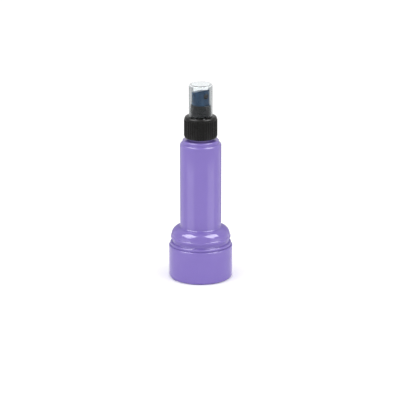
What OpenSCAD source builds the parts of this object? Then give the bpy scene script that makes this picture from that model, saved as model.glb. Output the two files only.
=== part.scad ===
// Fine mist spray bottle for lens cleaner: a moulded bottle with a wide foot, a ribbed
// screw collar, a metering pump with its dip tube, a push button and a clear overcap.
// Millimetres, +Z up, origin at the bottom centre of the bottle, nozzle towards +X.

/* [Bottle] */
// Outside diameter of the foot
foot_d = 45.6; // [40:0.1:56]
// Height of the foot up to its top edge
foot_h = 24.1; // [16:0.1:40]
// Corner radius round the bottom of the foot
foot_corner_r = 2; // [1:0.1:4]
// Outside diameter of the grip cylinder
grip_d = 29.4; // [28:0.1:34]
// Length of the grip cylinder's straight wall
grip_len = 59.5; // [40:0.1:90]
// Wall thickness of the bottle
bottle_wall = 1.2; // [0.8:0.1:1.6]
// Height of the recess under the foot
punt_h = 0.8; // [0.4:0.1:1.5]
// Diameter of the recess under the foot
punt_d = 32; // [20:0.5:34]

/* [Rings] */
// How far the lower ring steps in from the foot's wall
low_ring_step = 0.9; // [0.4:0.1:1.5]
// Height of the lower ring
low_ring_h = 2.3; // [2:0.1:5]
// Depth of the groove between the rings, from the lower ring
groove_depth = 1.6; // [0.8:0.1:2]
// Height of the groove between the rings
groove_h = 2.9; // [1:0.1:4]
// How far the upper ring stands out of the groove
high_ring_step = 1.2; // [0.8:0.1:1.4]
// Height of the upper ring, up to its rounded top edge
high_ring_h = 1.9; // [1.5:0.1:4]
// Radius of the upper ring's top edge
high_ring_round = 0.8; // [0.5:0.1:1]
// How far the dome steps in from the upper ring
dome_step = 0.5; // [0.3:0.1:0.7]
// Fillet between the dome and the grip cylinder
dome_fillet_r = 1; // [0.5:0.1:2]
// Corner radius at the top of the grip cylinder
shoulder_r = 1.5; // [0.8:0.1:1.6]
// How far the step at the root of the neck stands out past the collar
neck_step = 1.1; // [0.2:0.1:1.2]
// Height of the step at the root of the neck
neck_step_h = 2.4; // [1.5:0.1:3]

/* [Neck] */
// Diameter over the neck's thread
thread_d = 19.6; // [19:0.1:20]
// Depth of the thread
thread_depth = 1; // [0.8:0.05:1.1]
// Wall thickness of the neck
neck_wall = 2; // [1.5:0.1:2.5]
// Length of the neck above the step at its root
neck_len = 13.4; // [12.5:0.1:18]
// Pitch of the thread
thread_pitch = 3.175; // [2.5:0.005:4]
// Number of turns of thread
thread_turns = 1.5; // [1:0.25:1.75]

/* [Collar] */
// Wall thickness of the collar's skirt, with its grip ribs
collar_wall = 1.85; // [1.6:0.05:2]
// Height of the collar's skirt
collar_h = 15.6; // [14:0.1:16.5]
// Thickness of the collar's top
collar_top_t = 1.2; // [1:0.1:2]
// Depth of the grip ribs
rib_depth = 0.35; // [0.2:0.05:0.5]
// Number of grip ribs
rib_count = 40; // [24:1:60]
// Diameter of the raised ring that holds the overcap
snap_ring_d = 15.5; // [15:0.1:18.6]
// Height of the raised ring
snap_ring_h = 8.4; // [6:0.1:9]
// Wall thickness of the raised ring at its root
snap_ring_wall = 1.2; // [1:0.1:1.4]

/* [Pump] */
// Thickness of the neck gasket
gasket_t = 1; // [0.6:0.1:1.5]
// Thickness of the housing's flange
flange_t = 1.4; // [1:0.1:2]
// Bore of the pump housing
pump_bore_d = 7.8; // [7:0.1:9.4]
// Wall thickness of the pump housing
housing_wall = 0.8; // [0.6:0.05:1]
// Length of the pump bore, from the flange's top to the spring's seat
pump_bore_len = 32; // [30:0.5:40]
// Diameter of the stem
stem_d = 3.8; // [3.4:0.1:4.2]
// Stroke of the pump
stroke = 4.6; // [3:0.1:5]
// Free play of the piston on the stem, which opens the outlet
piston_play = 0.5; // [0.3:0.1:0.7]
// Diameter of the inlet ball
ball_d = 3; // [2.5:0.1:3.2]
// Wire diameter of the return spring
spring_wire_d = 0.6; // [0.4:0.05:0.8]
// Number of turns in the return spring
spring_turns = 8; // [5:1:9]
// Outside diameter of the dip tube
tube_d = 3.2; // [2.8:0.1:3.6]
// Wall thickness of the dip tube
tube_wall = 0.6; // [0.4:0.05:0.8]

/* [Button and overcap] */
// Height of the push button at its nozzle side
button_h = 14.2; // [12:0.1:18]
// Downward slope of the button's top, away from the nozzle
button_slope = 13; // [0:1:18]
// Diameter of the nozzle insert
nozzle_d = 4.2; // [3.6:0.1:4.8]
// Wall thickness of the overcap
overcap_wall = 0.6; // [0.5:0.05:1]
// Room between the button's top and the overcap
overcap_room = 2.5; // [0.5:0.1:4]

/* [Fits] */
// Radial clearance of parts that run or slide in each other
running_gap = 0.05; // [0.02:0.01:0.1]
// Radial and axial clearance of the screw thread
thread_gap = 0.25; // [0.15:0.05:0.3]
// Face clearance between parts that turn against each other
face_gap = 0.2; // [0.1:0.05:0.4]
// Gap between the push button and the raised ring round it
button_gap = 0.3; // [0.3:0.1:0.8]

/* [Hidden] */
$fn = 96;
eps = 0.01;
purple = "#9480cc";
black = "#22221f";
natural = "#e9eaec";

// Thread and collar radii
thread_r = thread_d / 2;
collar_bore_r = thread_r + thread_gap;
collar_r = collar_bore_r + collar_wall;

// Radii and heights up the bottle
foot_r = foot_d / 2;
low_ring_r = foot_r - low_ring_step;
groove_r = low_ring_r - groove_depth;
high_ring_r = groove_r + high_ring_step;
grip_r = grip_d / 2;
crease = 0.35;
edge_r = 0.3;
low_ring_round = 1;
low_ring_top = foot_h + low_ring_h;
groove_top = low_ring_top + groove_h;
high_ring_top = groove_top + high_ring_h;
dome_z = high_ring_top - 0.2;
dome_cx = grip_r - 0.1;
dome_r = high_ring_r - dome_step - dome_cx;
ring_arc_cx = high_ring_r - high_ring_round;
ring_meet = acos((high_ring_round - dome_step) / high_ring_round);
ring_lap = 2;
fillet_cx = grip_r + dome_fillet_r;
fillet_angle = acos((fillet_cx - dome_cx) / (dome_r + dome_fillet_r));
grip_z = dome_z + (dome_r + dome_fillet_r) * sin(fillet_angle);
shoulder_z = grip_z + grip_len;
shoulder_top = shoulder_z + shoulder_r;
neck_step_r = collar_r + neck_step;
neck_step_round = 0.9;
neck_step_top = shoulder_top + neck_step_h;
shoulder_round = min(shoulder_r, grip_r - neck_step_r);
neck_r = thread_d / 2 - thread_depth;
neck_bore_r = neck_r - neck_wall;
neck_top = neck_step_top + neck_len;
floor_z = punt_h + bottle_wall;
punt_ramp = 2;

// Thread
thread_steps = 24;
thread_root_w = 1.5;
thread_crest_w = 0.8;
thread_sink = 0.3;
thread_drop = 1.6;
thread_run = thread_pitch * thread_turns;
neck_thread_z = neck_top - thread_drop - thread_run;
collar_thread_z = neck_thread_z - thread_pitch / 2;

// Collar
flange_z = neck_top + gasket_t;
flange_top = flange_z + flange_t;
collar_ceiling = flange_top + face_gap;
collar_top = collar_ceiling + collar_top_t;
collar_z = collar_top - collar_h;
collar_hem = 0.8;
collar_crown = 1.8;
rib_root_r = collar_r - rib_depth;
rib_sink = 0.2;
rib_end = 0.4;
snap_ring_r = snap_ring_d / 2;
snap_ring_top = collar_top + snap_ring_h;

// Pump
pump_r = pump_bore_d / 2;
housing_r = pump_r + housing_wall;
flange_inset = 0.2;
flange_r = neck_r - flange_inset;
bore_floor = flange_top - pump_bore_len;
turret_plug = 4.5;
turret_head = 2.2;
turret_r = 4.9;
turret_top = flange_top + turret_head;
turret_foot = flange_top - turret_plug;
stem_r = stem_d / 2;
stem_bore_r = 1;
stop_r = 2.8;
stop_h = 1.8;
stop_gap = 0.1;
stop_top = turret_foot - stop_gap;
stop_bottom = stop_top - stop_h;
piston_len = 7.5;
seat_top = stop_bottom - piston_play - piston_len;
seat_h = 1.5;
seat_r = 3;
stem_foot_h = 1.6;
spring_gap = 0.02;
spring_top = seat_top - seat_h;
stem_foot = seat_top + stem_foot_h;
spring_r = 2.7;
lip_r = pump_r - running_gap;
guide_r = stem_r + running_gap;
ball_r = ball_d / 2;
ball_hole_r = ball_r - 0.2;
chamber_taper = 1.5;
ball_room = 0.3;
ball_lift = 0.8;
chamber_r = ball_r + ball_room;
inlet_r = 0.9;
cone_h = chamber_r - inlet_r;
ball_z_over_cone = ball_r * sqrt(2) - inlet_r;
lip_t = 0.6;
chamber_h = ball_z_over_cone + ball_r * sqrt(0.5) + ball_lift;
chamber_z = bore_floor - lip_t - chamber_h;
tube_r = tube_d / 2;
tube_socket = 6;
tube_stop = 0.8;
tail_wall = 0.8;
tail_r = tube_r + tail_wall;
tail_z = chamber_z - tube_stop - tube_socket;
tube_rise = 1.5;
tube_foot = floor_z + tube_rise;
tube_cut = 30;

// Button and overcap
button_r = snap_ring_r - snap_ring_wall - button_gap;
button_wall = 0.9;
button_rest_gap = 0.4;
stem_grip = 7.5;
nozzle_h = 9.3;
flat_depth = 0.5;
button_z = turret_top + stroke + button_rest_gap;
button_top = button_z + button_h;
stem_top = button_z + stem_grip;
nozzle_z = button_z + nozzle_h;
nozzle_r = nozzle_d / 2;
nozzle_depth = 2.6;
nozzle_face = button_r - flat_depth;
overcap_bore_r = snap_ring_r + running_gap;
overcap_r = overcap_bore_r + overcap_wall;
overcap_z = collar_top + face_gap;
overcap_top = button_top + overcap_room + overcap_wall;

// Points of an arc in the profile plane, from angle a0 to a1
function arc(cx, cz, r, a0, a1, n = 8) =
  [for (i = [0:n]) let (a = a0 + (a1 - a0) * i / n) [cx + r * cos(a), cz + r * sin(a)]];

// Helical thread with a trapezoid section, run out to nothing at both ends
module helix(r_in, r_out, w_in, w_out, turns, from_out) {
  count = round(thread_steps * turns);
  fade = thread_steps / 8;
  function height(i) = min(1, (min(i, count - i) + 0.1) / fade);
  function ring(i) =
    let (a = 360 * i / thread_steps, z = thread_pitch * i / thread_steps, h = height(i),
      a_r = from_out ? r_out - (r_out - r_in) * h : r_in,
      b_r = from_out ? r_out : r_in + (r_out - r_in) * h)
    [[a_r, z - w_in / 2, a], [b_r, z - w_out / 2, a], [b_r, z + w_out / 2, a], [a_r, z + w_in / 2, a]];
  points = [for (i = [0:count]) for (p = ring(i)) [p[0] * cos(p[2]), p[0] * sin(p[2]), p[1]]];
  sides = [for (i = [0:count - 1]) for (k = [0:3]) let (m = (k + 1) % 4)
    each [[4 * i + k, 4 * i + 4 + m, 4 * i + 4 + k], [4 * i + k, 4 * i + m, 4 * i + 4 + m]]];
  last = 4 * count;
  polyhedron(points, concat(sides, [[2, 1, 0], [3, 2, 0]],
    [[last, last + 1, last + 2], [last, last + 2, last + 3]]));
}

module tube(r, bore, z0, z1) {
  rotate_extrude() translate([bore, z0]) square([r - bore, z1 - z0]);
}

module bottle_outside() {
  rotate_extrude() polygon(concat(
    [[0, punt_h], [punt_d / 2 - punt_ramp, punt_h], [punt_d / 2, 0]],
    arc(foot_r - foot_corner_r, foot_corner_r, foot_corner_r, -90, 0),
    arc(low_ring_r, foot_h - low_ring_step, low_ring_step, 0, 90, 6),
    [[low_ring_r - crease, foot_h], [low_ring_r - crease, foot_h + crease]],
    arc(low_ring_r - edge_r, foot_h + crease + edge_r, edge_r, -90, 0, 4),
    arc(low_ring_r - low_ring_round, low_ring_top - low_ring_round, low_ring_round, 0, 90),
    [[groove_r, low_ring_top + edge_r]],
    arc(high_ring_r - edge_r, groove_top + edge_r, edge_r, -90, 0, 4),
    arc(ring_arc_cx, high_ring_top - high_ring_round, high_ring_round, 0, ring_meet),
    arc(dome_cx, dome_z, dome_r, ring_lap, fillet_angle, 14),
    arc(fillet_cx, grip_z, dome_fillet_r, 180 + fillet_angle, 180, 6),
    arc(grip_r - shoulder_round, shoulder_top - shoulder_round, shoulder_round, 0, 90),
    [[neck_step_r, shoulder_top + edge_r]],
    arc(neck_step_r - neck_step_round, neck_step_top - neck_step_round, neck_step_round, 0, 90, 6),
    [[neck_r, neck_step_top], [neck_r, neck_top - edge_r], [neck_r - edge_r, neck_top], [0, neck_top]]));
}

module bottle_cavity() {
  inner_r = groove_r - bottle_wall;
  top_r = neck_step_r - bottle_wall;
  rotate_extrude() polygon(concat(
    [[0, floor_z]],
    arc(foot_r - bottle_wall - foot_corner_r, floor_z + foot_corner_r, foot_corner_r, -90, 0, 6),
    [[foot_r - bottle_wall, foot_h - bottle_wall - low_ring_step]],
    [[inner_r, foot_h + low_ring_h - bottle_wall - low_ring_round], [inner_r, groove_top + edge_r]],
    [[dome_cx + dome_r - bottle_wall, dome_z]],
    arc(dome_cx, dome_z, dome_r - bottle_wall, 0, fillet_angle),
    [[grip_r - bottle_wall, grip_z + dome_fillet_r], [grip_r - bottle_wall, shoulder_z - edge_r]],
    [[grip_r - shoulder_round, shoulder_top - bottle_wall], [top_r, shoulder_top - bottle_wall]],
    [[top_r, neck_step_top - bottle_wall - edge_r], [top_r - edge_r, neck_step_top - bottle_wall]],
    [[neck_bore_r, neck_step_top - bottle_wall]],
    [[neck_bore_r, neck_top + eps], [0, neck_top + eps]]));
}

module bottle() {
  color(purple) {
    difference() {
      bottle_outside();
      bottle_cavity();
    }
    translate([0, 0, neck_thread_z])
      helix(neck_r - thread_sink, thread_r, thread_root_w, thread_crest_w, thread_turns, false);
  }
}

// Section across the grip ribs, whose roots are sunk into the skirt
module rib_section() {
  root_r = rib_root_r - rib_sink;
  root_w = 0.55;
  crest_w = 0.35;
  for (i = [0:rib_count - 1]) rotate(i * 360 / rib_count)
    polygon([[root_r, -root_w], [collar_r, -crest_w], [collar_r, crest_w], [root_r, root_w]]);
}

module screw_collar() {
  snap_lean = 0.7;
  snap_straight = 0.2;
  hole_r = turret_r + face_gap;
  rib_foot = collar_z + collar_hem + rib_end;
  rib_top = collar_top - collar_crown - rib_end;
  color(black) {
    rotate_extrude() polygon(concat([[collar_bore_r, collar_z]],
      arc(rib_root_r - collar_hem, collar_z + collar_hem, collar_hem, -90, 0, 4),
      arc(rib_root_r - collar_crown, collar_top - collar_crown, collar_crown, 0, 90, 6),
      [[snap_ring_r, collar_top], [snap_ring_r, collar_top + snap_ring_h * snap_straight]],
      arc(snap_ring_r - snap_lean - edge_r, snap_ring_top - edge_r, edge_r, 0, 90, 4),
      [[snap_ring_r - snap_ring_wall, snap_ring_top], [snap_ring_r - snap_ring_wall, collar_top]],
      [[hole_r, collar_top], [hole_r, collar_ceiling], [collar_bore_r, collar_ceiling]]));
    translate([0, 0, rib_foot]) linear_extrude(rib_top - rib_foot) rib_section();
    translate([0, 0, collar_thread_z])
      helix(neck_r + thread_gap, collar_bore_r + thread_sink, thread_crest_w, thread_root_w,
        thread_turns, true);
  }
}

module neck_gasket() {
  color("white") tube(flange_r, housing_r, neck_top, flange_z);
}

module pump_housing() {
  vent_r = 0.4;
  vent_drop = 2;
  color(natural) difference() {
    rotate_extrude() polygon([[0, tail_z], [tail_r, tail_z], [tail_r, chamber_z - tube_stop],
      [chamber_r + housing_wall, chamber_z], [chamber_r + housing_wall, bore_floor - chamber_taper],
      [housing_r, bore_floor], [housing_r, flange_z], [flange_r, flange_z],
      [flange_r, flange_top], [0, flange_top]]);
    translate([0, 0, bore_floor]) cylinder(r = pump_r, h = pump_bore_len + eps);
    rotate_extrude() polygon([[0, tail_z - eps], [tube_r, tail_z - eps], [tube_r, tail_z + tube_socket],
      [inlet_r, tail_z + tube_socket], [inlet_r, chamber_z], [chamber_r, chamber_z + cone_h],
      [chamber_r, bore_floor - lip_t], [ball_hole_r, bore_floor - lip_t],
      [ball_hole_r, bore_floor + eps], [0, bore_floor + eps]]);
    translate([0, 0, stop_bottom - vent_drop]) rotate([0, 90, 0]) cylinder(r = vent_r, h = housing_r + 1);
  }
}

module turret() {
  color(black) difference() {
    rotate_extrude() polygon([[0, turret_foot], [pump_r, turret_foot], [pump_r, flange_top],
      [turret_r, flange_top], [turret_r, turret_top - edge_r], [turret_r - edge_r, turret_top],
      [0, turret_top]]);
    translate([0, 0, turret_foot - eps])
      cylinder(r = guide_r, h = turret_plug + turret_head + 1);
  }
}

// The stem's narrow foot runs through the piston down to the lower stem's seat
module upper_stem() {
  color(natural) rotate_extrude() polygon([[stem_bore_r, stem_foot], [stem_r, stem_foot],
    [stem_r, stop_bottom], [stop_r, stop_bottom], [stop_r, stop_top], [stem_r, stop_top],
    [stem_r, stem_top], [stem_bore_r, stem_top]]);
}

module lower_stem() {
  port_r = 0.4;
  duct_r = 0.6;
  port_z = seat_top + 0.8;
  spigot_h = 4.5;
  spigot_top = seat_top + spigot_h;
  pilot_r = spring_r - spring_wire_d - 0.25;
  pilot_h = 3;
  post_r = stem_r - 0.4;
  color(natural) difference() {
    rotate_extrude() polygon([[0, spring_top - pilot_h], [pilot_r - edge_r, spring_top - pilot_h],
      [pilot_r, spring_top - pilot_h + edge_r], [pilot_r, spring_top], [seat_r, spring_top],
      [seat_r, seat_top], [post_r, seat_top], [post_r, stem_foot],
      [stem_bore_r, stem_foot], [stem_bore_r, spigot_top], [0, spigot_top]]);
    translate([0, 0, port_z]) cylinder(r = duct_r, h = spigot_h);
    translate([0, 0, port_z]) rotate([0, 90, 0]) cylinder(r = port_r, h = stem_d);
  }
}

module piston() {
  sleeve_r = pump_r - 1;
  lip_h = 1.6;
  lip_start = 0.6;
  lip_edge = 0.4;
  lip_root = lip_h + 0.9;
  neck = sleeve_r - 0.5;
  top = seat_top + piston_len;
  color(natural) rotate_extrude() polygon([[guide_r, seat_top], [neck, seat_top],
    [neck, seat_top + lip_h - lip_edge], [lip_r - lip_edge, seat_top + lip_start],
    [lip_r, seat_top + lip_start], [lip_r, seat_top + lip_h], [sleeve_r, seat_top + lip_root],
    [sleeve_r, top - lip_root], [lip_r, top - lip_h], [lip_r, top - lip_start],
    [lip_r - lip_edge, top - lip_start], [neck, top - lip_h + lip_edge], [neck, top], [guide_r, top]]);
}

// Closed coil at each end and open turns between, one ring of points per step
module return_spring() {
  sides = 6;
  steps = 18;
  wire_r = spring_wire_d / 2;
  count = spring_turns * steps;
  low = bore_floor + wire_r + spring_gap;
  high = spring_top - wire_r - spring_gap;
  dead = steps;
  function rise(i) = i < dead ? i / dead * spring_wire_d
    : i > count - dead ? (high - low) - (count - i) / dead * spring_wire_d
    : spring_wire_d + (i - dead) / (count - 2 * dead) * (high - low - 2 * spring_wire_d);
  points = [for (i = [0:count]) let (a = 360 * i / steps) for (k = [0:sides - 1])
    let (b = 360 * k / sides, r = spring_r - wire_r + wire_r * cos(b))
    [r * cos(a), r * sin(a), low + rise(i) + wire_r * sin(b)]];
  skin = [for (i = [0:count - 1]) for (k = [0:sides - 1]) let (m = (k + 1) % sides)
    each [[sides * i + k, sides * (i + 1) + m, sides * (i + 1) + k],
      [sides * i + k, sides * i + m, sides * (i + 1) + m]]];
  color("silver") polyhedron(points, concat(skin,
    [[for (k = [0:sides - 1]) sides - 1 - k]], [[for (k = [0:sides - 1]) sides * count + k]]));
}

module check_ball() {
  color("silver") translate([0, 0, chamber_z + ball_z_over_cone + spring_gap]) sphere(r = ball_r);
}

module dip_tube() {
  color(natural) difference() {
    tube(tube_r, tube_r - tube_wall, tube_foot, tail_z + tube_socket);
    translate([-tube_r, 0, tube_foot]) rotate([0, -tube_cut, 0])
      translate([-tube_d, -tube_d, -3 * tube_d]) cube([4 * tube_d, 2 * tube_d, 3 * tube_d]);
  }
}

module actuator() {
  boss_r = stem_r + 1.1;
  hollow_h = 5.6;
  channel_r = 0.7;
  lead = 0.6;
  color(black) difference() {
    intersection() {
      rotate_extrude() polygon(concat([[0, button_z]],
        arc(button_r - edge_r, button_z + edge_r, edge_r, -90, 0, 4),
        [[button_r, button_top + 1], [0, button_top + 1]]));
      translate([button_r, 0, button_top]) rotate([0, -button_slope, 0])
        translate([-3 * button_r, -button_r - 1, -3 * button_h])
          cube([4 * button_r, 2 * button_r + 2, 3 * button_h]);
      translate([-button_r - 1, -button_r - 1, button_z - 1])
        cube([button_r + 1 + nozzle_face, 2 * button_r + 2, button_h + 3]);
    }
    // Hollow round the stem's boss
    tube(button_r - button_wall, boss_r, button_z - eps, button_z + hollow_h);
    translate([0, 0, button_z - eps]) cylinder(r = guide_r, h = stem_top - button_z + eps);
    translate([0, 0, button_z - eps]) cylinder(r1 = guide_r + lead, r2 = guide_r, h = lead);
    translate([0, 0, stem_top - eps]) cylinder(r = stem_bore_r, h = nozzle_z - stem_top + channel_r);
    // Outlet channel and the nozzle's pocket
    translate([0, 0, nozzle_z]) rotate([0, 90, 0]) cylinder(r = channel_r, h = button_r);
    translate([nozzle_face - nozzle_depth, 0, nozzle_z]) rotate([0, 90, 0])
      cylinder(r = nozzle_r, h = nozzle_depth + 1);
  }
}

module nozzle_insert() {
  orifice_r = 0.2;
  swirl_r = 0.9;
  flare_r = 1;
  swirl_depth = nozzle_depth - 1.4;
  orifice_depth = nozzle_depth - 0.8;
  color(black) translate([nozzle_face - nozzle_depth, 0, nozzle_z]) rotate([0, 90, 0])
    rotate_extrude() polygon([[swirl_r, 0], [nozzle_r, 0], [nozzle_r, nozzle_depth - edge_r],
      [nozzle_r - edge_r, nozzle_depth], [flare_r, nozzle_depth], [orifice_r, orifice_depth],
      [orifice_r, orifice_depth - edge_r], [swirl_r, swirl_depth]]);
}

module overcap() {
  corner = 1;
  color([0.93, 0.95, 0.97, 0.35]) difference() {
    rotate_extrude() polygon(concat([[0, overcap_z], [overcap_r, overcap_z]],
      arc(overcap_r - corner, overcap_top - corner, corner, 0, 90, 6), [[0, overcap_top]]));
    rotate_extrude() polygon(concat([[0, overcap_z - eps], [overcap_bore_r, overcap_z - eps]],
      arc(overcap_bore_r - corner, overcap_top - overcap_wall - corner, corner, 0, 90, 6),
      [[0, overcap_top - overcap_wall]]));
  }
}

bottle();
screw_collar();
neck_gasket();
pump_housing();
turret();
upper_stem();
lower_stem();
piston();
return_spring();
check_ball();
dip_tube();
actuator();
nozzle_insert();
overcap();
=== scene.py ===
import math

import bmesh
import bpy
from mathutils import Matrix, Vector


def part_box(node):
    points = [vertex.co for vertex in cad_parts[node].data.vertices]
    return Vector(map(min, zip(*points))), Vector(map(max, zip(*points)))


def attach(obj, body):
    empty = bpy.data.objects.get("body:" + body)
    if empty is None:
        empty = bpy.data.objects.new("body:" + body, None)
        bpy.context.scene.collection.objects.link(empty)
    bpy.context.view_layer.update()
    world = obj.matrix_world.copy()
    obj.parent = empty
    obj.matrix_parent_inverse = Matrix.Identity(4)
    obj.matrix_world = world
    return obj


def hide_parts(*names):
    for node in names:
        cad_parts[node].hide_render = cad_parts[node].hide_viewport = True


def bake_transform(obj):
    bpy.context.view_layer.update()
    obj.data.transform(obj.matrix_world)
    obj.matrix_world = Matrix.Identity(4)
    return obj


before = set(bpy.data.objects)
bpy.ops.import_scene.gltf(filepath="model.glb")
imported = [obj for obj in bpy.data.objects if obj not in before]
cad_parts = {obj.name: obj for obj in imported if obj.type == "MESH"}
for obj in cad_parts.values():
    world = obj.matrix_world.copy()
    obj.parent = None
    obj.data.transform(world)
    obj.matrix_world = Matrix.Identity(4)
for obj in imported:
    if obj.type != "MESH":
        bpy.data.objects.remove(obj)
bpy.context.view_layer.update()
mm = 0.001


def hexColour(code):
    # sRGB hex to the linear colour that the shader wants
    parts = [int(code[i:i + 2], 16) / 255 for i in (1, 3, 5)]
    return tuple(c / 12.92 if c <= 0.04045 else ((c + 0.055) / 1.055) ** 2.4 for c in parts) + (1.0,)


def newMaterial(name):
    material = bpy.data.materials.new(name)
    material.use_nodes = True
    return material, material.node_tree, material.node_tree.nodes["Principled BSDF"]


def addNode(tree, kind, feeds=None, **settings):
    # feeds maps an input's name or number to a value, or to the socket that feeds it
    node = tree.nodes.new(kind)
    for key, value in settings.items():
        setattr(node, key, value)
    for key, value in (feeds or {}).items():
        if isinstance(value, bpy.types.NodeSocket):
            tree.links.new(value, node.inputs[key])
        else:
            node.inputs[key].default_value = value
    return node


def maths(tree, operation, first, second):
    return addNode(tree, "ShaderNodeMath", {0: first, 1: second}, operation=operation).outputs[0]


def roundedOutline(points, steps=6):
    # points are (r, z) or (r, z, fillet) in mm; a fillet turns its corner into an arc
    outline = []
    count = len(points)
    for i, point in enumerate(points):
        here = Vector(point[:2])
        fillet = point[2] if len(point) > 2 else 0
        before = (Vector(points[i - 1][:2]) - here)
        after = (Vector(points[(i + 1) % count][:2]) - here)
        if fillet <= 0 or before.length < 1e-6 or after.length < 1e-6:
            outline.append(here)
            continue
        angle = before.angle(after)
        back = fillet / math.tan(angle / 2)
        centre = here + (before.normalized() + after.normalized()).normalized() * fillet / math.sin(angle / 2)
        start = here + before.normalized() * back - centre
        end = here + after.normalized() * back - centre
        sweep = start.angle_signed(end)
        for k in range(steps + 1):
            turn = Matrix.Rotation(-sweep * k / steps, 2)
            outline.append(centre + turn @ start)
    return outline


def arcPoints(cx, cz, r, a0, a1, steps=8):
    angles = [math.radians(a0 + (a1 - a0) * k / steps) for k in range(steps + 1)]
    return [Vector((cx + r * math.cos(a), cz + r * math.sin(a))) for a in angles]


def meshObject(name, bm, material, sharp=40):
    bmesh.ops.remove_doubles(bm, verts=bm.verts, dist=1e-7)
    bmesh.ops.recalc_face_normals(bm, faces=bm.faces)
    mesh = bpy.data.meshes.new(name)
    bm.to_mesh(mesh)
    bm.free()
    mesh.polygons.foreach_set("use_smooth", [True] * len(mesh.polygons))
    mesh.set_sharp_from_angle(angle=math.radians(sharp))
    mesh.materials.append(material)
    piece = bpy.data.objects.new(name, mesh)
    bpy.context.collection.objects.link(piece)
    return piece


def latheMesh(outline, segments=144):
    # turns a closed outline of (r, z) in mm round the Z axis
    bm = bmesh.new()
    rings = []
    for r, z in outline:
        if r < 1e-6:
            rings.append([bm.verts.new((0, 0, z * mm))])
            continue
        angles = [2 * math.pi * k / segments for k in range(segments)]
        rings.append([bm.verts.new((r * mm * math.cos(a), r * mm * math.sin(a), z * mm)) for a in angles])
    for i, ring in enumerate(rings):
        other = rings[(i + 1) % len(rings)]
        if len(ring) == 1 and len(other) == 1:
            continue
        for k in range(segments):
            n = (k + 1) % segments
            corners = [ring[k % len(ring)], ring[n % len(ring)], other[n % len(other)], other[k % len(other)]]
            bm.faces.new(list(dict.fromkeys(corners)))
    return bm


def lathe(name, outline, material, segments=144):
    return meshObject(name, latheMesh(outline, segments), material)


def place(piece, body, slot, *nodes):
    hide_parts(*nodes)
    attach(piece, body)
    return piece


def bakeModifiers(piece):
    # the evaluated result becomes the piece's own plain mesh
    bpy.context.view_layer.update()
    evaluated = piece.evaluated_get(bpy.context.evaluated_depsgraph_get())
    mesh = bpy.data.meshes.new_from_object(evaluated)
    piece.modifiers.clear()
    piece.data = mesh
    return piece


def finePattern(tree, scale, detail=3.0):
    # noise on object coordinates, which are metres
    coords = addNode(tree, "ShaderNodeTexCoord")
    return addNode(tree, "ShaderNodeTexNoise",
                   {"Vector": coords.outputs["Object"], "Scale": scale, "Detail": detail})


def mouldedPlastic(name, base, tint, roughness, spread, grain, shine=0.5, ior=1.5):
    # base and tint are mixed by a soft cloud; roughness wanders by spread; grain is the bump in mm
    material, tree, shader = newMaterial(name)
    cloud = finePattern(tree, 45.0, 2.0)
    colour = addNode(tree, "ShaderNodeMix", {0: cloud.outputs["Fac"], 6: hexColour(base), 7: hexColour(tint)},
                     data_type="RGBA")
    tree.links.new(colour.outputs[2], shader.inputs["Base Color"])
    wear = finePattern(tree, 220.0, 4.0)
    least, most = roughness - spread, roughness + spread
    rough = addNode(tree, "ShaderNodeMapRange",
                    {"Value": wear.outputs["Fac"], 1: 0.3, 2: 0.7, 3: least, 4: most})
    tree.links.new(rough.outputs[0], shader.inputs["Roughness"])
    skin = finePattern(tree, 900.0, 2.0)
    bump = addNode(tree, "ShaderNodeBump",
                   {"Height": skin.outputs["Fac"], "Strength": 0.25, "Distance": grain * mm})
    tree.links.new(bump.outputs[0], shader.inputs["Normal"])
    shader.inputs["IOR"].default_value = ior
    shader.inputs["Specular IOR Level"].default_value = shine
    return material, tree, shader


# polypropylene, blow moulded and glossy: even purple with soft streaks in the shine
purpleMoulded, tree, shader = mouldedPlastic(
    "purpleMouldedPolypropylene", "#7967b1", "#806eb8", 0.14, 0.03, 0.008, 0.38)
shader.inputs["Subsurface Weight"].default_value = 0.08
shader.inputs["Subsurface Radius"].default_value = (0.6, 0.4, 1.0)
shader.inputs["Subsurface Scale"].default_value = 0.001

# polypropylene, injection moulded: near black with a satin skin
blackMoulded, tree, shader = mouldedPlastic(
    "blackMouldedPolypropylene", "#0b0b0a", "#121110", 0.3, 0.06, 0.012, 0.15)

# the push button is black resin from a polished tool, smoother than the collar; its dark slate blue is a
# painted reflection of the clear cap's sheen lying over it
buttonPaintedCapReflection, tree, shader = mouldedPlastic(
    "blackPolypropyleneWithPaintedCapReflection", "#1c3248", "#21384f", 0.16, 0.03, 0.006, 0.1)

# natural polypropylene: milky and slightly see-through
naturalMoulded, tree, shader = mouldedPlastic(
    "naturalPolypropylene", "#e6e8e8", "#dfe3e6", 0.35, 0.05, 0.008)
shader.inputs["Subsurface Weight"].default_value = 0.4
shader.inputs["Subsurface Scale"].default_value = 0.001

# polyethylene foam washer: dull white with closed cells about 0.3 mm across
foamWasher, tree, shader = newMaterial("whiteClosedCellFoam")
coords = addNode(tree, "ShaderNodeTexCoord")
cells = addNode(tree, "ShaderNodeTexVoronoi", {"Vector": coords.outputs["Object"], "Scale": 3000.0})
cellDepth = cells.outputs["Distance"]
foamTone = addNode(tree, "ShaderNodeMix",
                   {0: cellDepth, 6: hexColour("#ededea"), 7: hexColour("#cfcfca")}, data_type="RGBA")
foamBump = addNode(tree, "ShaderNodeBump", {"Height": cellDepth, "Strength": 0.5, "Distance": 0.05 * mm})
tree.links.new(foamTone.outputs[2], shader.inputs["Base Color"])
tree.links.new(foamBump.outputs[0], shader.inputs["Normal"])
shader.inputs["Roughness"].default_value = 0.85

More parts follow.
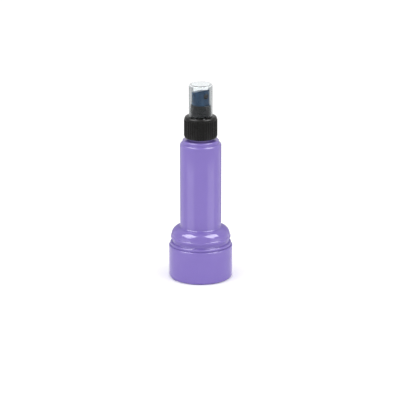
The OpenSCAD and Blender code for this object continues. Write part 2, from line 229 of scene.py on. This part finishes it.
# drawn stainless wire: bright, with fine lines along its length
springSteel, tree, shader = newMaterial("drawnStainlessSteel")
drawn = finePattern(tree, 1800.0, 4.0)
drawnRough = addNode(tree, "ShaderNodeMapRange", {"Value": drawn.outputs["Fac"], 3: 0.18, 4: 0.36})
drawnBump = addNode(tree, "ShaderNodeBump",
                    {"Height": drawn.outputs["Fac"], "Strength": 0.2, "Distance": 0.01 * mm})
tree.links.new(drawnRough.outputs[0], shader.inputs["Roughness"])
tree.links.new(drawnBump.outputs[0], shader.inputs["Normal"])
shader.inputs["Base Color"].default_value = hexColour("#c9cacc")
shader.inputs["Metallic"].default_value = 1.0

# extruded polyethylene tube: cloudy and see-through
tubePlastic, tree, shader = mouldedPlastic(
    "extrudedPolyethyleneTube", "#eef0f2", "#e2e6ea", 0.3, 0.05, 0.008, 0.5, 1.51)
shader.inputs["Transmission Weight"].default_value = 0.6

# clear polypropylene from a polished tool: almost invisible, with bright edges
clearMoulded, tree, shader = newMaterial("clearMouldedPolypropylene")
haze = finePattern(tree, 150.0, 3.0)
hazeRough = addNode(tree, "ShaderNodeMapRange",
                    {"Value": haze.outputs["Fac"], 1: 0.3, 2: 0.7, 3: 0.01, 4: 0.05})
tree.links.new(hazeRough.outputs[0], shader.inputs["Roughness"])
ripple = finePattern(tree, 120.0, 1.0)
rippleBump = addNode(tree, "ShaderNodeBump",
                     {"Height": ripple.outputs["Fac"], "Strength": 0.1, "Distance": 0.02 * mm})
tree.links.new(rippleBump.outputs[0], shader.inputs["Normal"])
shader.inputs["Base Color"].default_value = hexColour("#f2f5f6")
shader.inputs["IOR"].default_value = 1.49
shader.inputs["Specular Tint"].default_value = hexColour("#8c9096")
shader.inputs["Transmission Weight"].default_value = 1.0
print("materials made")


bottle = {
    "footR": 22.8, "footH": 24.1, "footCorner": 2.0, "footEdge": 0.85, "puntR": 16.0, "puntH": 0.8,
    "lowRingStep": 0.9, "lowRingH": 2.3, "lowRingRound": 1.0, "crease": 0.35,
    "grooveDepth": 1.6, "grooveH": 2.9, "highRingStep": 1.2, "highRingH": 1.9, "highRingRound": 0.8,
    "domeStep": 0.5, "domeSink": 0.2, "domeFillet": 1.0, "gripR": 14.7, "gripLen": 59.5, "shoulderRound": 1.5,
    "neckStepR": 13.0, "neckStepH": 2.4, "neckStepRound": 0.9, "neckR": 8.8, "neckBoreR": 6.8, "wall": 1.2,
    "threadR": 9.8, "pitch": 3.175, "turns": 1.5, "threadDrop": 1.6, "threadSink": 0.3,
    "threadRootW": 1.5, "threadCrestW": 0.8, "domeInset": 0.1,
}


def bottleOutline(b):
    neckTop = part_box("bottle")[1].z / mm
    lowR = b["footR"] - b["lowRingStep"]
    grooveR = lowR - b["grooveDepth"]
    highR = grooveR + b["highRingStep"]
    lowTop = b["footH"] + b["lowRingH"]
    grooveTop = lowTop + b["grooveH"]
    highTop = grooveTop + b["highRingH"]
    domeZ = highTop - b["domeSink"]
    domeX = b["gripR"] - b["domeInset"]
    domeR = highR - b["domeStep"] - domeX
    filletX = b["gripR"] + b["domeFillet"]
    filletAngle = math.degrees(math.acos((filletX - domeX) / (domeR + b["domeFillet"])))
    gripZ = domeZ + (domeR + b["domeFillet"]) * math.sin(math.radians(filletAngle))
    shoulderTop = gripZ + b["gripLen"] + b["shoulderRound"]
    stepTop = shoulderTop + b["neckStepH"]
    ringRound = b["highRingRound"]
    ringMeet = math.degrees(math.acos((ringRound - b["domeStep"]) / ringRound))
    lowWall = [
        (0, b["puntH"]), (b["puntR"] - 2, b["puntH"], 1.5), (b["puntR"], 0, 0.6),
        (b["footR"], 0, b["footCorner"]), (b["footR"], b["footH"], b["footEdge"]),
        (lowR - b["crease"], b["footH"], 0.12), (lowR - b["crease"], b["footH"] + b["crease"], 0.12),
        (lowR, b["footH"] + b["crease"], 0.3), (lowR, lowTop, b["lowRingRound"]),
        (grooveR, lowTop, 0.4), (grooveR, grooveTop, 0.4), (highR, grooveTop, 0.35), (highR, highTop),
    ]
    outside = roundedOutline(lowWall)[:-1]
    outside += arcPoints(highR - ringRound, highTop - ringRound, ringRound, 0, ringMeet, 8)
    outside += arcPoints(domeX, domeZ, domeR, 2, filletAngle, 28)
    outside += arcPoints(filletX, gripZ, b["domeFillet"], 180 + filletAngle, 180, 8)
    wall = b["wall"]
    inner = b["neckBoreR"]
    upper = [
        (b["gripR"], gripZ + 2), (b["gripR"], shoulderTop, b["shoulderRound"]),
        (b["neckStepR"], shoulderTop, 0.15), (b["neckStepR"], stepTop, b["neckStepRound"]),
        (b["neckR"], stepTop, 0.4), (b["neckR"], neckTop, 0.3), (inner, neckTop, 0.2),
        (inner, stepTop - wall, 0.5), (b["neckStepR"] - wall, stepTop - wall, 0.3),
        (b["neckStepR"] - wall, shoulderTop - wall, 0.3),
        (b["gripR"] - wall, shoulderTop - wall, 0.6), (b["gripR"] - wall, gripZ),
    ]
    outside += roundedOutline(upper)[1:-1]
    inside = [Vector((b["gripR"] - wall, gripZ))]
    inside += arcPoints(domeX, domeZ, domeR - wall, 80, 0, 16)
    innerLow = [
        (domeX + domeR - wall, domeZ), (grooveR - wall, grooveTop, 0.3),
        (grooveR - wall, lowTop - wall, 0.3), (b["footR"] - wall, b["footH"] - wall, 0.6),
        (b["footR"] - wall, b["puntH"] + wall, 2.0), (0, b["puntH"] + wall),
    ]
    inside += roundedOutline(innerLow)[1:]
    return outside + inside, neckTop


def helixMesh(bm, rIn, rOut, wIn, wOut, z0, fadeOut, steps=48):
    # trapezoid thread on the bottle's pitch and turns; it runs out to nothing at both ends
    turns, pitch = bottle["turns"], bottle["pitch"]
    count = round(steps * turns)
    rings = []
    for i in range(count + 1):
        a = 2 * math.pi * i / steps
        fade = min(1, (min(i, count - i) + 0.1) / (steps / 8))
        r0, r1 = (rOut - (rOut - rIn) * fade, rOut) if fadeOut else (rIn, rIn + (rOut - rIn) * fade)
        z = z0 + pitch * i / steps
        section = [(r0, z - wIn / 2), (r1, z - wOut / 2), (r1, z + wOut / 2), (r0, z + wIn / 2)]
        rings.append([bm.verts.new((r * mm * math.cos(a), r * mm * math.sin(a), h * mm)) for r, h in section])
    for here, there in zip(rings, rings[1:]):
        for k in range(4):
            bm.faces.new([here[k], here[(k + 1) % 4], there[(k + 1) % 4], there[k]])
    bm.faces.new(rings[0])
    bm.faces.new(rings[-1])


outline, neckTop = bottleOutline(bottle)
bm = latheMesh(outline, 192)
threadZ = neckTop - bottle["threadDrop"] - bottle["pitch"] * bottle["turns"]
helixMesh(bm, bottle["neckR"] - bottle["threadSink"], bottle["threadR"],
          bottle["threadRootW"], bottle["threadCrestW"], threadZ, False)
bottleShell = meshObject("bottleShell", bm, purpleMoulded)
place(bottleShell, "bottle", "purple_plastic", "bottle")
print("bottle made")


collar = {
    "skirtR": 11.55, "boreR": 10.05, "h": 15.6, "topT": 1.2, "holeR": 5.1, "hem": 0.8, "crown": 1.8,
    "ringR": 7.75, "ringH": 8.4, "ringWall": 1.2, "ringLean": 0.7, "ringStraight": 0.2,
    "ribs": 40, "ribDepth": 0.35, "ribWidth": 0.95, "ribSink": 0.02, "ribEnd": 0.4, "threadGap": 0.25,
}


def collarOutline(c):
    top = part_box("screw_collar")[1].z / mm
    deck = top - c["ringH"]
    foot = deck - c["h"]
    inner = c["ringR"] - c["ringWall"]
    points = [
        (c["boreR"], foot, 0.3), (c["skirtR"], foot, c["hem"]), (c["skirtR"], deck, c["crown"]),
        (c["ringR"], deck, 0.25), (c["ringR"], deck + c["ringH"] * c["ringStraight"], 2.0),
        (c["ringR"] - c["ringLean"], top, 0.2), (inner, top, 0.15), (inner, deck, 0.2),
        (c["holeR"], deck, 0.15), (c["holeR"], deck - c["topT"], 0.15), (c["boreR"], deck - c["topT"], 0.4),
    ]
    return roundedOutline(points), foot


def ribTree(material):
    # one rib stands on each point of a circle; the tree's inputs are in metres
    tree = bpy.data.node_groups.new("gripRibs", "GeometryNodeTree")
    sockets = (("Count", "NodeSocketInt"), ("Radius", "NodeSocketFloat"), ("Height", "NodeSocketFloat"),
               ("Base", "NodeSocketFloat"), ("Width", "NodeSocketFloat"), ("Depth", "NodeSocketFloat"))
    for name, kind in sockets:
        tree.interface.new_socket(name, in_out="INPUT", socket_type=kind)
    tree.interface.new_socket("Geometry", in_out="OUTPUT", socket_type="NodeSocketGeometry")
    given = addNode(tree, "NodeGroupInput").outputs
    circle = addNode(tree, "GeometryNodeMeshCircle", {"Vertices": given["Count"], "Radius": given["Radius"]})
    # the rib is a capsule of a bar: a round rod with domed ends, squashed to the rib's width and depth
    rod = addNode(tree, "GeometryNodeMeshUVSphere", {"Segments": 16, "Rings": 12, "Radius": 1.0})
    where = addNode(tree, "GeometryNodeInputPosition")
    apart = addNode(tree, "ShaderNodeSeparateXYZ", {0: where.outputs[0]})
    side = addNode(tree, "ShaderNodeMath", {0: apart.outputs["Z"]}, operation="SIGN")
    reach = maths(tree, "MULTIPLY", maths(tree, "SUBTRACT", given["Height"], given["Width"]), 0.5)
    shift = maths(tree, "MULTIPLY", side.outputs[0], reach)
    wide = maths(tree, "MULTIPLY", given["Width"], 0.5)
    thin = addNode(tree, "ShaderNodeCombineXYZ", {"X": given["Depth"], "Y": wide, "Z": wide})
    shaped = addNode(tree, "ShaderNodeVectorMath", {0: where.outputs[0], 1: thin.outputs[0]},
                     operation="MULTIPLY")
    lift = addNode(tree, "ShaderNodeCombineXYZ", {"Z": shift})
    stretched = addNode(tree, "ShaderNodeVectorMath", {0: shaped.outputs[0], 1: lift.outputs[0]},
                        operation="ADD")
    rib = addNode(tree, "GeometryNodeSetPosition",
                  {"Geometry": rod.outputs["Mesh"], "Position": stretched.outputs[0]})
    # each rib faces away from the axis
    spot = addNode(tree, "GeometryNodeInputPosition")
    facing = addNode(tree, "FunctionNodeAlignRotationToVector", {"Vector": spot.outputs[0]},
                     axis="X", pivot_axis="Z")
    ring = addNode(tree, "GeometryNodeInstanceOnPoints",
                   {"Points": circle.outputs[0], "Instance": rib.outputs[0], "Rotation": facing.outputs[0]})
    middle = addNode(tree, "ShaderNodeCombineXYZ", {"Z": given["Base"]})
    raised = addNode(tree, "GeometryNodeTransform",
                     {"Geometry": ring.outputs[0], "Translation": middle.outputs[0]})
    real = addNode(tree, "GeometryNodeRealizeInstances", {0: raised.outputs[0]})
    smooth = addNode(tree, "GeometryNodeSetShadeSmooth", {0: real.outputs[0]})
    finish = addNode(tree, "GeometryNodeSetMaterial", {"Geometry": smooth.outputs[0], "Material": material})
    addNode(tree, "NodeGroupOutput", {0: finish.outputs[0]})
    return tree


def runTree(name, tree, values):
    # an empty mesh carries the tree; its result becomes a plain mesh
    piece = bpy.data.objects.new(name, bpy.data.meshes.new(name))
    bpy.context.collection.objects.link(piece)
    modifier = piece.modifiers.new("tree", "NODES")
    modifier.node_group = tree
    for item in tree.interface.items_tree:
        if item.in_out == "INPUT" and item.name in values:
            modifier[item.identifier] = values[item.name]
    return bakeModifiers(piece)


outline, collarFoot = collarOutline(collar)
bm = latheMesh(outline, 160)
collarThreadZ = threadZ - bottle["pitch"] / 2
helixMesh(bm, bottle["neckR"] + collar["threadGap"], collar["boreR"] + bottle["threadSink"],
          bottle["threadCrestW"], bottle["threadRootW"], collarThreadZ, True)
collarBody = meshObject("collarBody", bm, blackMoulded)
place(collarBody, "collar", "black_plastic", "screw_collar")

ribH = collar["h"] - collar["hem"] - collar["crown"] - 2 * collar["ribEnd"]
ribs = runTree("collarRibs", ribTree(blackMoulded), {
    "Count": collar["ribs"], "Radius": (collar["skirtR"] - collar["ribSink"]) * mm, "Height": ribH * mm,
    "Base": (collarFoot + collar["hem"] + collar["ribEnd"] + ribH / 2) * mm,
    "Width": collar["ribWidth"] * mm, "Depth": (collar["ribDepth"] + collar["ribSink"]) * mm,
})
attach(ribs, "collar")
print("collar made with", collar["ribs"], "ribs")


overcap = {"wall": 0.6, "topWall": 0.6, "corner": 1.0, "innerCorner": 0.6}
low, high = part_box("overcap")
capR = high.x / mm
capLow, capHigh = low.z / mm, high.z / mm
bore = capR - overcap["wall"]
capOutline = roundedOutline([
    (bore, capLow, 0.12), (capR, capLow, 0.2), (capR, capHigh, overcap["corner"]), (0, capHigh),
    (0, capHigh - overcap["topWall"]), (bore, capHigh - overcap["topWall"], overcap["innerCorner"]),
], 8)
overcapShell = lathe("overcapShell", capOutline, clearMoulded, 160)
place(overcapShell, "overcap", "clear_plastic", "overcap")
print("overcap made")


button = {"slope": 13.0, "edge": 0.35, "dish": 26.0, "dishDepth": 0.5, "hollowR": 5.35, "bossR": 3.0,
          "hollowH": 5.6, "socketR": 1.95, "socketH": 7.5, "nozzleZ": 9.3, "nozzleR": 2.1, "nozzleDepth": 2.6}
low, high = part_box("actuator")
buttonR = high.y / mm
buttonLow = low.z / mm
flatX = high.x / mm
buttonTop = high.z / mm


def cutWith(piece, cutter):
    modifier = piece.modifiers.new("cut", "BOOLEAN")
    modifier.object = cutter
    modifier.operation = "DIFFERENCE"
    modifier.solver = "EXACT"
    bakeModifiers(piece)
    bpy.data.objects.remove(cutter, do_unlink=True)


def rod(r, length, material):
    # a plain rod along +Z, for cutting
    bm = bmesh.new()
    bmesh.ops.create_cone(bm, cap_ends=True, segments=96, radius1=r * mm, radius2=r * mm, depth=length * mm)
    return meshObject("cutter", bm, material)


def block(size, material):
    bm = bmesh.new()
    bmesh.ops.create_cube(bm, size=1.0, matrix=Matrix.Diagonal((*[s * mm for s in size], 1)))
    return meshObject("cutter", bm, material)


def buttonMesh(b):
    tall = buttonTop + 2
    outline = roundedOutline([
        (0, buttonLow + b["socketH"]), (b["socketR"], buttonLow + b["socketH"]),
        (b["socketR"], buttonLow, 0.3),
        (b["bossR"], buttonLow, 0.2), (b["bossR"], buttonLow + b["hollowH"], 0.3),
        (b["hollowR"], buttonLow + b["hollowH"], 0.3), (b["hollowR"], buttonLow, 0.1),
        (buttonR, buttonLow, 0.3), (buttonR, tall), (0, tall),
    ])
    piece = lathe("buttonBody", outline, buttonPaintedCapReflection, 128)
    # sloped top: everything above a plane through the nozzle side's edge goes
    tilt = Matrix.Rotation(math.radians(-b["slope"]), 4, "Y")
    slope = Matrix.Translation((buttonR * mm, 0, buttonTop * mm)) @ tilt
    above = block((60, 40, 20), buttonPaintedCapReflection)
    above.data.transform(slope @ Matrix.Translation((-10 * mm, 0, 10 * mm)))
    cutWith(piece, above)
    # shallow finger dish across the slope
    dish = rod(b["dish"], 40, buttonPaintedCapReflection)
    dishZ = b["dish"] - b["dishDepth"]
    dish.data.transform(slope @ Matrix.Translation((-buttonR * mm, 0, dishZ * mm))
                        @ Matrix.Rotation(math.radians(90), 4, "X"))
    cutWith(piece, dish)
    # flat face and the pocket for the nozzle
    front = block((4, 40, 60), buttonPaintedCapReflection)
    front.data.transform(Matrix.Translation(((flatX + 2) * mm, 0, buttonTop * mm)))
    cutWith(piece, front)
    pocket = rod(b["nozzleR"], b["nozzleDepth"] * 2, buttonPaintedCapReflection)
    pocket.data.transform(Matrix.Translation((flatX * mm, 0, (buttonLow + b["nozzleZ"]) * mm))
                          @ Matrix.Rotation(math.radians(90), 4, "Y"))
    cutWith(piece, pocket)
    soften = piece.modifiers.new("soften", "BEVEL")
    soften.width = b["edge"] * mm
    soften.segments = 3
    soften.limit_method = "ANGLE"
    soften.angle_limit = math.radians(35)
    soften.harden_normals = True
    bakeModifiers(piece)
    return piece


buttonBody = buttonMesh(button)
place(buttonBody, "button", "black_plastic", "actuator")

nozzleLow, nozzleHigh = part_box("nozzle_insert")
depth = (nozzleHigh.x - nozzleLow.x) / mm
nozzleOutline = roundedOutline([
    (0.9, 0, 0.05), (button["nozzleR"], 0, 0.1), (button["nozzleR"], depth, 0.2), (1.3, depth, 0.15),
    (0.95, depth - 0.5, 0.1), (0.2, depth - 0.8, 0.05), (0.2, depth - 1.1, 0.03), (0.9, depth - 1.4, 0.05),
])
nozzleCup = lathe("nozzleCup", nozzleOutline, blackMoulded, 72)
nozzleCup.data.transform(Matrix.Translation((nozzleLow.x, 0, (nozzleLow.z + nozzleHigh.z) / 2))
                         @ Matrix.Rotation(math.radians(90), 4, "Y"))
place(nozzleCup, "button", "black_plastic", "nozzle_insert")
print("push button made")


spring = {"turns": 8, "wire": 0.6}


def springTree(material):
    # a coil whose first and last turns lie closed; the tree's inputs are in metres
    tree = bpy.data.node_groups.new("returnSpringCoil", "GeometryNodeTree")
    for name in ("Turns", "Radius", "Length", "Wire", "Base"):
        tree.interface.new_socket(name, in_out="INPUT", socket_type="NodeSocketFloat")
    tree.interface.new_socket("Geometry", in_out="OUTPUT", socket_type="NodeSocketGeometry")
    given = addNode(tree, "NodeGroupInput").outputs
    coil = addNode(tree, "GeometryNodeCurveSpiral",
                   {"Resolution": 40, "Rotations": given["Turns"], "Start Radius": given["Radius"],
                    "End Radius": given["Radius"], "Height": 0.0})
    along = addNode(tree, "GeometryNodeSplineParameter")
    oneTurn = maths(tree, "DIVIDE", 1.0, given["Turns"])
    lastTurn = maths(tree, "SUBTRACT", 1.0, oneTurn)
    openLength = maths(tree, "SUBTRACT", given["Length"], maths(tree, "MULTIPLY", given["Wire"], 2.0))

    def climbs(start, end, rise):
        # height won between two shares of the coil's length
        return addNode(tree, "ShaderNodeMapRange",
                       {0: along.outputs["Factor"], 1: start, 2: end, 4: rise}).outputs[0]

    lower = maths(tree, "ADD", climbs(0.0, oneTurn, given["Wire"]), climbs(oneTurn, lastTurn, openLength))
    climb = maths(tree, "ADD", lower, climbs(lastTurn, 1.0, given["Wire"]))
    rise = addNode(tree, "ShaderNodeCombineXYZ", {"Z": maths(tree, "ADD", climb, given["Base"])})
    raised = addNode(tree, "GeometryNodeSetPosition",
                     {"Geometry": coil.outputs[0], "Offset": rise.outputs[0]})
    wireR = maths(tree, "MULTIPLY", given["Wire"], 0.5)
    section = addNode(tree, "GeometryNodeCurvePrimitiveCircle", {"Resolution": 14, "Radius": wireR})
    wire = addNode(tree, "GeometryNodeCurveToMesh",
                   {"Curve": raised.outputs[0], "Profile Curve": section.outputs[0], "Fill Caps": True})
    smooth = addNode(tree, "GeometryNodeSetShadeSmooth", {0: wire.outputs[0]})
    finish = addNode(tree, "GeometryNodeSetMaterial", {"Geometry": smooth.outputs[0], "Material": material})
    addNode(tree, "NodeGroupOutput", {0: finish.outputs[0]})
    return tree


low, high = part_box("return_spring")
wireSize = spring["wire"] * mm
coil = runTree("returnSpring", springTree(springSteel), {
    "Turns": float(spring["turns"]), "Radius": high.x - wireSize / 2, "Wire": wireSize,
    "Length": high.z - low.z - wireSize, "Base": low.z + wireSize / 2,
})
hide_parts("return_spring")
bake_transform(coil)
print("spring made")


finishes = {
    "neck_gasket": foamWasher, "pump_housing": naturalMoulded, "turret": blackMoulded,
    "upper_stem": naturalMoulded, "lower_stem": naturalMoulded, "piston": naturalMoulded,
    "check_ball": springSteel, "dip_tube": tubePlastic,
}
for node, material in finishes.items():
    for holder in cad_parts[node].material_slots:
        holder.material = material
print("CAD pieces finished")


# the whole studio turns with the camera, so the nozzle shows at its front right
studio = {"azimuth": 50.0, "floor": 6.0, "skyStrength": 1.0, "aimZ": 0.07}

bm = bmesh.new()
bmesh.ops.create_grid(bm, x_segments=1, y_segments=1, size=studio["floor"])
floorPaint, tree, shader = newMaterial("paleStudioSweep")
shader.inputs["Base Color"].default_value = hexColour("#ffffff")
shader.inputs["Roughness"].default_value = 0.9
floor = meshObject("floor", bm, floorPaint)

world = bpy.data.worlds.new("studio")
world.use_nodes = True
world.node_tree.nodes["Background"].inputs["Color"].default_value = (1, 1, 1, 1)
world.node_tree.nodes["Background"].inputs["Strength"].default_value = studio["skyStrength"]
bpy.context.scene.world = world
bpy.context.scene.view_settings.view_transform = "Standard"  # plain colours, with no film curve


def outwards(azimuth, elevation):
    # unit vector from the object; azimuth is counted from the camera, to the right
    turn, rise = math.radians(azimuth + studio["azimuth"]), math.radians(elevation)
    return Vector((math.sin(turn) * math.cos(rise), -math.cos(turn) * math.cos(rise), math.sin(rise)))


def softbox(name, azimuth, elevation, distance, width, height, glow, onlyShine=False, aimZ=studio["aimZ"]):
    # glow is the panel's radiance, so its size can change and its look stays
    light = bpy.data.lights.new(name, "AREA")
    light.shape = "RECTANGLE"
    light.size, light.size_y = width, height
    light.energy = glow * math.pi * width * height
    lamp = bpy.data.objects.new(name, light)
    away = outwards(azimuth, elevation)
    lamp.location = Vector((0, 0, aimZ)) + away * distance
    lamp.rotation_euler = away.to_track_quat("Z", "Y").to_euler()
    lamp.visible_camera = False
    lamp.visible_diffuse = not onlyShine
    bpy.context.collection.objects.link(lamp)


# the keys light the scene, the shine boxes only show in the rings and the dome,
# and the low cards make the soft upright bands on the grip
softbox("keyLeft", -62, 55, 1.1, 0.7, 0.5, 1.6)
softbox("keyRight", 62, 55, 1.1, 0.7, 0.5, 1.6)
softbox("shineLeft", -66, 50, 1.1, 0.8, 0.8, 13.0, True)
softbox("shineRight", 66, 50, 1.1, 0.8, 0.8, 13.0, True)
softbox("cardLeft", -56, 0, 0.12, 0.085, 0.066, 1.5, True, 0.035)
softbox("cardRight", 56, 0, 0.12, 0.085, 0.066, 1.5, True, 0.035)


def backdrop(name, azimuth, distance, width, height, glow):
    # a grey panel standing behind the object to one side; only reflections and clear plastic show it
    paint, tree, shader = newMaterial(name)
    shader.inputs["Base Color"].default_value = (0, 0, 0, 1)
    shader.inputs["Specular IOR Level"].default_value = 0.0
    shader.inputs["Emission Color"].default_value = (1, 1, 1, 1)
    shader.inputs["Emission Strength"].default_value = glow
    bm = bmesh.new()
    away = outwards(azimuth, 0)
    left = away * distance - Vector((-away.y, away.x, 0)) * width / 2
    right = away * distance + Vector((-away.y, away.x, 0)) * width / 2
    rise = Vector((0, 0, height))
    bm.faces.new([bm.verts.new(p) for p in (left, right, right + rise, left + rise)])
    panel = meshObject(name, bm, paint)
    panel.visible_camera = False
    panel.visible_diffuse = False
    panel.visible_shadow = False


backdrop("backdropLeft", -155, 0.14, 0.1, 0.12, 0.45)
backdrop("backdropRight", 155, 0.14, 0.1, 0.12, 0.45)

camera = {"elevation": 17.0, "distance": 1.5, "frameWidth": 0.286, "aimZ": 0.0567, "shift": -0.0017}
lens = bpy.data.cameras.new("camera")
lens.sensor_width = 36.0
lens.lens = 36.0 * camera["distance"] / camera["frameWidth"]
lens.clip_end = 50.0
lens.shift_x = camera["shift"]
viewer = bpy.data.objects.new("camera", lens)
away = outwards(0, camera["elevation"])
viewer.location = Vector((0, 0, camera["aimZ"])) + away * camera["distance"]
viewer.rotation_euler = away.to_track_quat("Z", "Y").to_euler()
bpy.context.collection.objects.link(viewer)
bpy.context.scene.camera = viewer
print("studio made")
